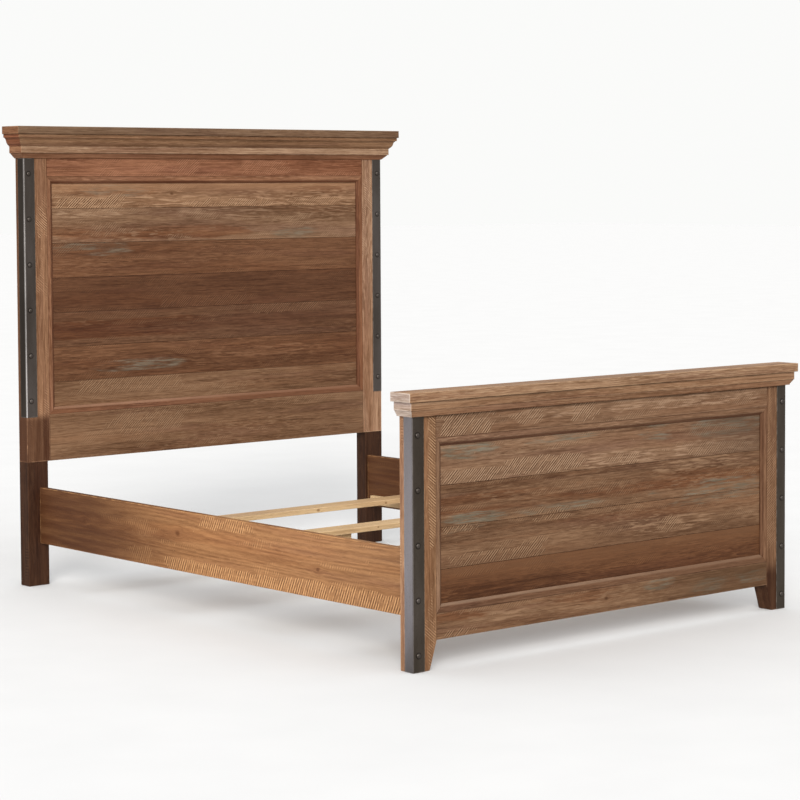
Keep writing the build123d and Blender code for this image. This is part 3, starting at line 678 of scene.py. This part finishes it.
# Average colours of the boards.
TAN = (0.196, 0.110, 0.063)
GOLD = (0.245, 0.131, 0.068)
BROWN = (0.160, 0.085, 0.045)
RED = (0.103, 0.041, 0.0165)
RUSSET = (0.225, 0.096, 0.050)
UMBER = (0.128, 0.057, 0.027)
HONEY = (0.235, 0.112, 0.045)
CROWN = (0.280, 0.165, 0.095)
PINE = (0.52, 0.36, 0.20)

MOULDING = {"fb": (0.212, 0.118, 0.068), "hb": (0.235, 0.112, 0.060)}
# Painted light: the footboard's pale pink end colour stands for sun on the crown's end faces.
RETURNS = {"fb": (0.40, 0.315, 0.26), "hb": (0.255, 0.123, 0.063), "hb_cove": (0.210, 0.081, 0.039)}

CROWN_BOARDS = ("hb_cap_board", "hb_frieze_board", "fb_cap_board", "fb_under_board")

# Looks of the boards: the average colour, and patches in shares of the board's own length and height.
LOOKS = {
    "fb_plank_4": dict(
        mean=TAN, tone_and_light_ramps=[("X", 0.25, 0.65, 0.55, (0.45, 0.45, 0.47))],
        kerf=[(0.02, 0.22, 0.0, 0.25, 1.0), (0.20, 0.42, 0.04, 0.36, 1.0), (0.51, 0.58, 0.02, 0.24, 0.8),
              (0.75, 0.94, 0.02, 0.26, 0.7)],
        wash=[(0.03, 0.17, 0.50, 0.78, 1.0), (0.27, 0.47, 0.62, 0.78, 0.8), (0.60, 0.68, 0.45, 0.80, 0.8),
              (0.76, 0.97, 0.40, 0.78, 0.9)],
        pale=[(0.42, 0.64, 0.04, 0.30, 0.9), (0.70, 0.98, 0.04, 0.36, 1.0)]),
    "fb_plank_3": dict(
        mean=BROWN,
        dark=[(0.0, 1.0, 0.25, 0.68, 0.9)],
        pale=[(0.64, 0.94, 0.68, 0.95, 0.8), (0.35, 0.52, 0.75, 0.95, 0.4)],
        wash=[(0.03, 0.21, 0.02, 0.26, 0.9), (0.24, 0.47, 0.04, 0.24, 0.7), (0.61, 0.67, 0.05, 0.30, 0.7),
              (0.72, 0.97, 0.02, 0.36, 1.0)],
        kerf=[(0.29, 0.38, 0.0, 0.12, 0.8)],
        knots=[(0.35, 0.02, 5 * MM)]),
    "fb_plank_2": dict(
        mean=BROWN, tone_and_light_ramps=[("Z", 0.345, 0.299, 0.35, (0.70, 0.62, 0.56))],
        kerf=[(0.03, 0.12, 0.80, 0.96, 0.9), (0.29, 0.38, 0.80, 0.96, 0.8), (0.06, 0.31, 0.0, 0.28, 1.0),
              (0.25, 0.31, 0.26, 0.46, 0.8), (0.66, 0.72, 0.15, 0.52, 0.8)],
        pale=[(0.56, 0.82, 0.14, 0.52, 0.9), (0.90, 0.97, 0.2, 0.5, 0.6), (0.06, 0.2, 0.1, 0.3, 0.5)],
        dark=[(0.0, 1.0, 0.52, 0.80, 0.5)],
        wash=[(0.03, 0.14, 0.78, 0.96, 0.6), (0.7, 0.97, 0.75, 0.96, 0.7)]),
    "fb_plank_1": dict(
        mean=RED, tone_and_light_ramps=[("Z", 0.225, 0.298, 0.8, (1.5, 1.78, 2.05))],
        kerf=[(0.07, 0.20, 0.76, 1.0, 0.9), (0.27, 0.33, 0.78, 1.0, 0.6)],
        pale=[(0.68, 0.80, 0.72, 1.0, 0.9), (0.86, 0.91, 0.70, 0.92, 0.8)]),
    "fb_top_rail": dict(
        mean=TAN,
        kerf=[(0.04, 0.17, 0.02, 0.80, 1.0), (0.24, 0.30, 0.2, 0.9, 0.7), (0.39, 0.46, 0.1, 0.8, 0.8),
              (0.58, 0.64, 0.2, 0.8, 0.3), (0.86, 0.93, 0.2, 0.8, 0.4)],
        pale=[(0.26, 0.44, 0.35, 0.75, 0.8), (0.50, 0.95, 0.30, 0.75, 0.9)]),
    "fb_bottom_rail": dict(
        mean=BROWN, tone_and_light_ramps=[("X", 0.0, 0.5, 0.55, (0.36, 0.32, 0.22))],
        wash=[(0.60, 0.68, 0.5, 1.0, 0.9), (0.74, 0.84, 0.1, 0.7, 0.9), (0.88, 0.98, 0.2, 0.7, 0.8)],
        kerf=[(0.06, 0.12, 0.0, 0.35, 0.8), (0.66, 0.80, 0.3, 0.6, 0.4)],
        pale=[(0.11, 0.30, 0.35, 0.75, 0.7), (0.36, 0.60, 0.2, 0.5, 0.5)],
        dark=[(0.02, 0.14, 0.55, 1.0, 0.9), (0.35, 0.5, 0.5, 1.0, 0.6)],
        knots=[(0.484, 0.55, 5 * MM)]),
    "fb_post_left": dict(
        mean=GOLD, kerf=[(0.48, 0.98, 0.72, 1.0, 0.65), (0.10, 0.2, 0.5, 1.0, 0.4)], slant=-52.0, closeness=1.3),
    "fb_post_right": dict(
        mean=(0.182, 0.094, 0.050), kerf=[(0.3, 0.75, 0.0, 0.5, 0.5)], slant=48.0,
        # Painted shade: the foot darkens towards the floor.
        tone_and_light_ramps=[("Z", 0.185, 0.12, 0.96, (0.175, 0.085, 0.025))], closeness=1.3),
    "hb_plank_7": dict(
        mean=(0.216, 0.116, 0.062), tone_and_light_ramps=[("Z", 1.425, 1.465, 0.4, (2.0, 2.05, 2.1))],
        kerf=[(0.04, 0.23, 0.0, 0.30, 1.0), (0.20, 0.24, 0.0, 0.42, 0.8), (0.42, 0.70, 0.02, 0.24, 0.8),
              (0.74, 0.93, 0.02, 0.26, 0.5)],
        wash=[(0.12, 0.30, 0.36, 0.66, 0.5)],
        pale=[(0.30, 0.44, 0.15, 0.5, 0.6), (-0.05, 1.05, -0.1, 0.34, 0.9), (0.6, 1.0, 0.2, 0.5, 0.5)],
        dark=[(0.05, 0.35, 0.35, 0.6, 0.6), (0.75, 0.97, 0.45, 0.6, 0.6), (0.0, 1.0, 0.86, 1.0, 0.8)],
        knots=[(0.378, 0.41, 6 * MM), (0.76, 0.38, 4 * MM)]),
    "hb_plank_6": dict(
        mean=(0.196, 0.110, 0.062),
        pale=[(0.04, 0.22, 0.70, 0.92, 0.8), (0.40, 0.70, 0.60, 0.90, 0.5)],
        dark=[(0.0, 0.6, 0.10, 0.45, 0.9)],
        wash=[(0.70, 0.84, 0.0, 0.35, 0.6)]),
    # Painted shade: planks 5 to 2 are given darker colours than the planks above them.
    "hb_plank_5": dict(mean=UMBER, pale=[(0.02, 0.2, 0.2, 0.5, 0.5)], wash=[(0.02, 0.25, 0.6, 0.95, 0.6)]),
    "hb_plank_4": dict(mean=(0.090, 0.037, 0.017), kerf=[(0.35, 0.62, 0.0, 0.3, 0.7)]),
    "hb_plank_3": dict(mean=(0.108, 0.050, 0.025), dark=[(0.0, 0.5, 0.2, 0.7, 0.9)], kerf=[(0.62, 0.85, 0.7, 1.0, 0.7)]),
    "hb_plank_2": dict(mean=UMBER, wash=[(0.15, 0.4, 0.2, 0.5, 0.7)], pale=[(0.5, 0.8, 0.4, 0.7, 0.6)]),
    "hb_plank_1": dict(mean=BROWN, kerf=[(0.1, 0.4, 0.6, 1.0, 0.7)]),
    "hb_top_rail": dict(
        mean=RUSSET,
        kerf=[(0.39, 0.45, 0.1, 0.8, 0.5), (0.30, 0.36, 0.2, 0.6, 0.3), (0.59, 0.73, 0.1, 0.7, 0.4)],
        pale=[(0.60, 0.72, 0.5, 0.8, 0.4)]),
    "hb_bottom_rail": dict(mean=BROWN, kerf=[(0.2, 0.4, 0.5, 0.9, 0.6)]),
    "hb_post_left": dict(
        mean=(0.226, 0.116, 0.062), kerf=[(0.74, 0.82, 0.55, 1.0, 0.8), (0.55, 0.6, 0.5, 1.0, 0.4)], slant=-50.0,
        # Painted shade: the post darkens below the steel, and its outer side face is darkened.
        tone_and_light_ramps=[("Z", 0.64, 0.60, 0.92, (0.20, 0.12, 0.08)), ("X", -0.841, -0.843, 0.85, (0.30, 0.22, 0.18))],
        closeness=1.3),
    "hb_post_right": dict(
        mean=(0.298, 0.172, 0.104), kerf=[(0.80, 0.92, 0.1, 0.5, 0.4)], slant=-50.0, knots=[(0.89, 0.2, 5 * MM)]),
    # Painted shade: both legs are given a very dark colour.
    "hb_leg_left": dict(mean=(0.042, 0.0165, 0.0075), kerf=[(0.85, 1.0, 0.1, 0.7, 0.4)]),
    "hb_leg_right": dict(mean=(0.042, 0.0165, 0.0075)),
    # Painted shade: the cap board's colour is darkened to offset the strong light on its front.
    "hb_cap_board": dict(mean=(0.141, 0.081, 0.046), pale=[(0.1, 0.9, 0.3, 0.9, 0.4)], closeness=1.6, sawn=False),
    # Painted light: the cove's colour is lightened to offset the shade under the cap.
    "hb_cove": dict(mean=(0.242, 0.134, 0.072), sawn=False, closeness=1.8),
    "hb_frieze_board": dict(mean=(0.297, 0.182, 0.112), sawn=False, closeness=1.6),
    "hb_bed_mould": dict(mean=(0.270, 0.128, 0.068), sawn=False, closeness=1.6),
    "hb_crown_core": dict(mean=BROWN),
    "fb_cap_board": dict(mean=CROWN, pale=[(0.1, 0.9, 0.3, 0.9, 0.5)], closeness=1.5, sawn=False),
    "fb_under_board": dict(mean=CROWN, sawn=False, closeness=1.6),
    "fb_bed_mould": dict(mean=(0.300, 0.165, 0.092), sawn=False, closeness=1.6),
    "side_rail_left": dict(
        mean=HONEY, slant=-66.0, pitch=10.5 * MM, figure=0.42, contrast=0.5, scatter=0.2,
        # Painted shadow: the rail darkens towards the headboard end.
        tone_and_light_ramps=[("Y", 0.0, 0.8, 0.92, (0.26, 0.185, 0.18))],
        kerf=[(-0.05, 0.30, -0.1, 0.26, 0.8), (0.26, 0.62, -0.1, 0.20, 0.8), (0.40, 0.52, 0.80, 1.05, 0.7),
              (0.66, 0.72, 0.0, 0.3, 0.4)],
        knots=[(0.585, 0.62, 9 * MM), (0.22, 0.45, 6 * MM), (0.86, 0.55, 7 * MM)]),
    "side_rail_right": dict(
        mean=HONEY, slant=-66.0, pitch=10.5 * MM, figure=0.42, contrast=0.5, scatter=0.2,
        # Painted shadow: the rail darkens towards the headboard end.
        tone_and_light_ramps=[("Y", 0.0, 0.8, 0.92, (0.26, 0.185, 0.18))],
        kerf=[(0.0, 0.25, 0.0, 0.25, 0.8), (0.55, 0.9, 0.0, 0.22, 0.8), (0.3, 0.4, 0.8, 1.0, 0.6)],
        knots=[(0.4, 0.4, 8 * MM), (0.71, 0.62, 6 * MM)]),
}


def panel_moulding(node):
    """One strip of a panel's frame. Its outer edge is a joint and its step is rubbed. Painted shade fills its bevel,
    most on the top and left strips, which face away from the light; the bottom strip's bevel faces up and gets a
    painted highlight instead, fading to the right."""
    low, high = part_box(node)
    where = node.rsplit("_", 1)[1]
    axis, outer, inward = {"top": ("Z", high.z, -1), "bottom": ("Z", low.z, 1), "left": ("X", low.x, 1),
                           "right": ("X", high.x, -1)}[where]
    step, toe = outer + inward * 15.5 * MM, outer + inward * 26 * MM
    grain = "X" if axis == "Z" else "Z"
    mean = tint(MOULDING[node[:2]], {"right": (0.74, 0.66, 0.60), "bottom": (0.60, 0.54, 0.50)}.get(where, (1, 1, 1)))
    # Strength of the painted shade in each strip's bevel; on the bottom strip it is a painted highlight.
    strength = {"top": 0.85, "right": 0.45, "left": 0.7, "bottom": 0.6}[where]
    # Pale for the painted highlight on the bottom bevel, dark for the painted shade on the others.
    factors = (2.1, 2.8, 3.6) if where == "bottom" else (0.30, 0.155, 0.085)
    seams = [(axis, outer)] if where == "bottom" else [(axis, outer), (axis, toe)]
    if where == "right":
        seams.append((axis, step + inward * MM))
    tone_and_light_ramps = [("Y", low.y + 2.2 * MM, low.y + 4.5 * MM, strength, factors)]
    # The bottom strip's painted highlight fades towards the right.
    if where == "bottom":
        tone_and_light_ramps.append(("X", -0.25, 0.35, 0.6, (1.1, 1.1, 1.1)))
    material = timber("timber_" + node, grain, mean, (low, high), seams=seams, sawn=False, worn=0.25,
                      ridges=[(axis, step)] if where in ("top", "left") else [], tone_and_light_ramps=tone_and_light_ramps)
    return board(node, grain, [material], nick=0.5 * MM)


def joints_of(node):
    """Dark joints on a board of an end panel, found from its neighbours' boxes."""
    end = node[:2]
    if end not in ("fb", "hb"):
        return []
    if node in CROWN_BOARDS:
        return [("Z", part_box(node)[0].z)]
    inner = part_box(end + "_post_right")[0].x
    low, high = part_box(end + "_moulding_top")[0].z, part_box(end + "_moulding_top")[1].z
    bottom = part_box(end + "_moulding_bottom")[0].z
    if "rail" in node:
        return [("X", inner), ("X", -inner), ("Z", high), ("Z", bottom)]
    if "post" in node:
        return [("X", inner), ("X", -inner)]
    if "plank" in node:
        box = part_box(node)
        tongue = 6 * MM
        return [("Z", box[0].z), ("Z", box[1].z - tongue)] if box[1].z < low else [("Z", box[0].z)]
    return []


# ---- Steel and hardware --------------------------------------------------------------
STEEL = 2 * MM
# Tone of the steel, the painted reflection on the leaf that faces the bed's side (bluish on the footboard, dark on the
# headboard), and how strong the painted highlight along the bend is.
ANGLE_LOOKS = {"fb": ((0.88, 0.84, 0.76), (1.44, 1.62, 2.04), 0.0), "hb": ((1, 1, 1), (0.49, 0.45, 0.40), 1.0)}


def arc(centre, radius, start, stop, steps=6):
    """Points of an arc, angles in degrees."""
    turns = [math.radians(start + (stop - start) * n / steps) for n in range(steps + 1)]
    return [(centre[0] + radius * math.cos(a), centre[1] + radius * math.sin(a)) for a in turns]


def corner_angle(node):
    """Folded steel angle: a round bend, softened free edges, and leaves that are not quite flat."""
    low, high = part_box(node)
    side = 1 if low.x > 0 else -1
    across, deep = high.x - low.x, high.y - low.y
    bend, soft = 5 * MM, 0.6 * MM
    outline = (arc((bend, bend), bend, 270, 180, 8)
               + arc((soft, deep - soft), soft, 180, 90, 3) + arc((STEEL - soft, deep - soft), soft, 90, 0, 3)
               + [(STEEL, STEEL)]
               + arc((across - soft, STEEL - soft), soft, 90, 0, 3) + arc((across - soft, soft), soft, 0, -90, 3))
    corner_x = high.x if side > 0 else low.x
    length = high.z - low.z
    stations = round(length / (16 * MM))
    bm = bmesh.new()
    rings = []
    for n in range(stations + 1):
        z = low.z + length * n / stations
        ring = []
        for x, y in outline:
            place = Vector((corner_x - side * x, low.y + y, z))
            sink = 0.5 * MM * max(0.0, 0.5 + noise.noise(place * 14.0) + 0.4 * noise.noise(place * 45.0))
            if x < bend and y < bend:
                place += Vector((-side, 1, 0)).normalized() * sink * 0.6
            elif y < STEEL / 2:
                place.y += sink * 0.7
            elif x < STEEL / 2:
                place.x -= side * sink * 0.7
            ring.append(bm.verts.new(place))
        rings.append(ring)
    count = len(outline)
    for below, above in zip(rings, rings[1:]):
        for n in range(count):
            bm.faces.new((below[n], below[(n + 1) % count], above[(n + 1) % count], above[n]))
    bm.faces.new(rings[0])
    bm.faces.new(rings[-1])
    bmesh.ops.recalc_face_normals(bm, faces=bm.faces)
    rivets = [(a + b) / 2 for a, b in solids_of(node[:2] + "_rivets") if (a.x > 0) == (side > 0)]
    tone, side_leaf_reflection, bend_highlight = ANGLE_LOOKS[node[:2]]
    material = dark_steel("steel_" + node, (low, high), rivets, (corner_x, low.y, 0.0), tone, side_leaf_reflection, bend_highlight)
    return finish_piece(bm, node + "_steel", node, [material], 40.0)


def solids_of(node):
    """The box of each separate solid of a CAD node."""
    bm = clean_copy(node)
    boxes = [corners([v.co for v in island]) for island in islands(bm)]
    bm.free()
    return sorted(boxes, key=lambda box: tuple(round(c, 4) for c in box[0]))


def rivet_heads(node):
    """Hammered domes, each a little different, with their shanks."""
    draw = random.Random(node)
    bm = bmesh.new()
    for low, high in solids_of(node):
        radius = (high.x - low.x) / 2
        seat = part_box(node.replace("rivets", "angle_left"))[0].y
        tall = seat - low.y
        centre = Vector(((low.x + high.x) / 2, seat, (low.z + high.z) / 2))
        lean = Vector((draw.uniform(-0.04, 0.04), -1, draw.uniform(-0.04, 0.04)))
        wide = radius * draw.uniform(0.95, 1.0)
        dome = [(wide * math.sin(t), tall * (0.12 + 0.86 * math.cos(t))) for t in (math.pi / 2 * n / 8 for n in range(9))]
        shank = 3 * MM
        profile = dome + [(wide * 0.99, -0.4 * MM), (shank, -0.5 * MM), (shank, -(high.y - seat)), (0, -(high.y - seat))]
        rings = lathe(bm, profile, centre, lean, 32)
        for vert in [v for ring in rings[:8] for v in ring]:
            vert.co.y += 0.35 * MM * max(0.0, noise.noise(vert.co * 260.0) + 0.1)
    bmesh.ops.recalc_face_normals(bm, faces=bm.faces)
    return finish_piece(bm, node + "_domed", node, [dark_steel("rivet_" + node)], 40.0)


def screw_heads(node):
    """Countersunk screws with a cross recess."""
    bm = bmesh.new()
    draw = random.Random(7)
    for low, high in solids_of(node):
        size = high - low
        axis = max(range(3), key=lambda n: size[n])
        out = Vector([0.0, 0.0, 0.0])
        solid = [v.co for v in NODES[node].data.vertices
                 if all(low[n] - MM / 10 < v.co[n] < high[n] + MM / 10 for n in range(3))]
        spread = {end: max((abs(co[a] - (low[a] + high[a]) / 2) for co in solid for a in range(3)
                            if a != axis and abs(co[axis] - end) < MM / 10), default=0.0) for end in (low[axis], high[axis])}
        out[axis] = 1.0 if spread[high[axis]] > spread[low[axis]] else -1.0
        head = (low + high) / 2
        head[axis] = high[axis] if out[axis] > 0 else low[axis]
        radius, long = max(spread.values()), size[axis]
        shank = radius / 2
        roll = draw.uniform(0, math.pi / 2)
        rings = lathe(bm, [(radius, -0.02 * MM), (shank, -shank), (shank, -long + 4 * MM), (0, -long)], head, out, 24, roll)
        turn = out.to_track_quat("Z", "Y").to_matrix()
        arm, half = 0.62 * radius, 0.14 * radius
        cross = [(half, half), (half, arm), (-half, arm), (-half, half), (-arm, half), (-arm, -half), (-half, -half),
                 (-half, -arm), (half, -arm), (half, -half), (arm, -half), (arm, half)]
        deep = 0.55 * radius
        top = [bm.verts.new(head + turn @ Vector((x, y, -0.02 * MM))) for x, y in cross]
        pit = [bm.verts.new(head + turn @ Vector((x * 0.55, y * 0.8, -deep))) for x, y in cross]
        for n in range(12):
            bm.faces.new((top[n], top[(n + 1) % 12], pit[(n + 1) % 12], pit[n]))
        bm.faces.new(pit)
        rim = [bm.edges.get((rings[0][n], rings[0][(n + 1) % 24])) for n in range(24)]
        rim += [bm.edges.get((top[n], top[(n + 1) % 12])) for n in range(12)]
        bmesh.ops.triangle_fill(bm, edges=rim, use_beauty=True)
    bmesh.ops.recalc_face_normals(bm, faces=bm.faces)
    return finish_piece(bm, node + "_cross", node, [zinc("zinc_" + node)], 30.0)


def threaded_glide(node):
    """Levelling glide: a moulded pad with a threaded stud."""
    low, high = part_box(node)
    centre = Vector(((low.x + high.x) / 2, (low.y + high.y) / 2, low.z))
    radius, pad, stud, top = (high.x - low.x) / 2, 8 * MM, 4 * MM, high.z - low.z
    bm = bmesh.new()
    foot = [(0, 0.6 * MM), (radius * 0.72, 0.6 * MM), (radius * 0.78, 0), (radius - 2 * MM, 0)]
    foot += [(radius - 2 * MM + 2 * MM * math.sin(t), 2 * MM - 2 * MM * math.cos(t)) for t in (math.pi / 8 * n for n in (1, 2, 3, 4))]
    foot += [(radius, pad - 3 * MM), (radius - 1 * MM, pad - 2.2 * MM), (radius - 6 * MM, pad), (0, pad)]
    lathe(bm, foot, centre, (0, 0, 1), 48)
    for face in bm.faces:
        face.material_index = 0
    pads = set(bm.faces)
    pitch, steps, segments = 1.25 * MM, 6, 24
    turns = math.ceil((top - pad - 1 * MM) / pitch)
    profile = [(0, pad - 0.5 * MM)]
    rows = turns * steps
    rings = []
    for row in range(rows + 1):
        z = pad - 0.5 * MM + (top - pad - 0.5 * MM) * row / rows
        ring = []
        for n in range(segments):
            phase = (z / pitch - n / segments) % 1.0
            depth = 0.42 * MM * abs(2 * phase - 1)
            fade = min(1.0, (top - z) / (2 * MM))
            r = (stud - depth) * (0.8 + 0.2 * fade)
            a = 2 * math.pi * n / segments
            ring.append(bm.verts.new(centre + Vector((r * math.cos(a), r * math.sin(a), z))))
        rings.append(ring)
    for lower, upper in zip(rings, rings[1:]):
        for n in range(segments):
            bm.faces.new((lower[n], lower[(n + 1) % segments], upper[(n + 1) % segments], upper[n]))
    bm.faces.new(list(reversed(rings[0])))
    bm.faces.new(rings[-1])
    for face in bm.faces:
        if face not in pads:
            face.material_index = 1
    bmesh.ops.recalc_face_normals(bm, faces=bm.faces)
    return finish_piece(bm, node + "_threaded", node, [glide_plastic("plastic_" + node), zinc("zinc_" + node)], 40.0)


def softwood(node):
    """Planed pale softwood of the mattress support, with a knot or two."""
    low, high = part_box(node)
    size = high - low
    grain = "XYZ"[max(range(3), key=lambda n: size[n])]
    draw = random.Random(node)
    knots = [(draw.uniform(0.1, 0.9), draw.uniform(0.3, 0.7), draw.uniform(3, 6) * MM) for _ in range(2)]
    material = timber("timber_" + node, grain, tint(PINE, (draw.uniform(0.92, 1.05),) * 3), (low, high), knots=knots,
                      ruddy=0.25, contrast=0.4, figure=0.22, scatter=0, worn=0.25, sawn=False)
    return board(node, grain, [material], 20 * MM, 0.4 * MM)


add_camera()
add_stage()
add_world()
add_sun(azimuth=-44, elevation=25, strength=2.4, softness=22)
lit = bpy.data.collections.new("lit")
add_softbox("window", (-1.65, -0.25, 0.30), (-0.8, -0.25, 0.30), (1.4, 0.8), 9, (0.98, 0.97, 1.0), lit)
bpy.context.scene.view_settings.view_transform = "Standard"

for node in sorted(NODES):
    slot = SLOT_OF[node]
    if slot == "support_timber":
        softwood(node)
    elif "moulding" in node:
        panel_moulding(node)
    elif node in ("hb_cove", "hb_bed_mould", "fb_bed_mould"):
        crown_run(node, returns=RETURNS.get(node, RETURNS[node[:2]]), **LOOKS[node])
    elif node in LOOKS:
        low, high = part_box(node)
        size = high - low
        grain = "XYZ"[max(range(3), key=lambda n: size[n])]
        materials = [timber("timber_" + node, grain, box=(low, high), seams=joints_of(node),
                            joint=0.5 if "plank" in node else 0.85, **LOOKS[node])]
        if node in CROWN_BOARDS:
            materials.append(timber("timber_" + node + "_ends", "Y", RETURNS[node[:2]], (low, high), sawn=False))
        board(node, grain, materials)
    elif "angle" in node:
        corner_angle(node)
    elif node.endswith("_rivets"):
        rivet_heads(node)
    elif node == "wood_screws":
        screw_heads(node)
    elif node.startswith("glide"):
        threaded_glide(node)
    else:
        NODES[node].data.materials[0] = zinc("zinc_" + node)

low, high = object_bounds()
